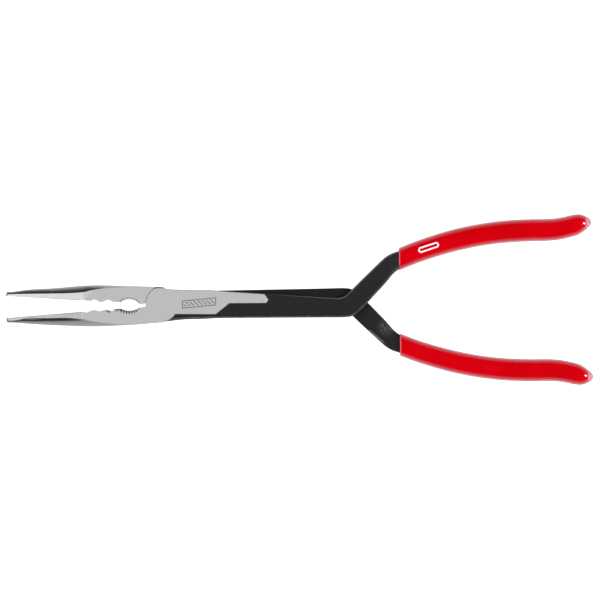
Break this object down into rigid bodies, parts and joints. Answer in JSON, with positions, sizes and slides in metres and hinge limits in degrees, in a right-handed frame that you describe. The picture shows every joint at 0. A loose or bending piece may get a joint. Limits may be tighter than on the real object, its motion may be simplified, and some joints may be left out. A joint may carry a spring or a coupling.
{
  "type": "long reach needle nose pliers",
  "caption": "Lap-joint pliers with long slender toothed jaws, long crossing shanks that bend out to dipped grips, opening about a flush pivot rivet.",
  "frame": {"origin": "where the pivot's axis meets the ground joint face the tool lies on; the parting plane between the two levers is at Z = 6 mm", "axes": "+X along the tool from the pivot to the handles, the jaws point to -X; +Z along the pivot axis, up when the tool lies flat; +Y towards the front lever's handle"},
  "size_m": [0.34, 0.0992, 0.012],
  "materials": {
    "forged_steel": "ground bare steel on the jaws and joint, black oxide on the shanks and arms",
    "rivet_steel": "ground flush",
    "dipped_vinyl": "glossy dipped vinyl"
  },
  "bodies": {
    "front_half": {"front_lever": "forged_steel", "pivot_rivet": "rivet_steel", "upper_grip": "dipped_vinyl"},
    "rear_half": {"rear_lever": "forged_steel", "lower_grip": "dipped_vinyl"}
  },
  "joints": [
    {"name": "jaw_pivot", "type": "hinge", "parent": "front_half", "child": "rear_half", "pos_m": [0, 0, 0], "axis": [0, 0, 1], "range_deg": [-30, 7.6]}
  ]
}
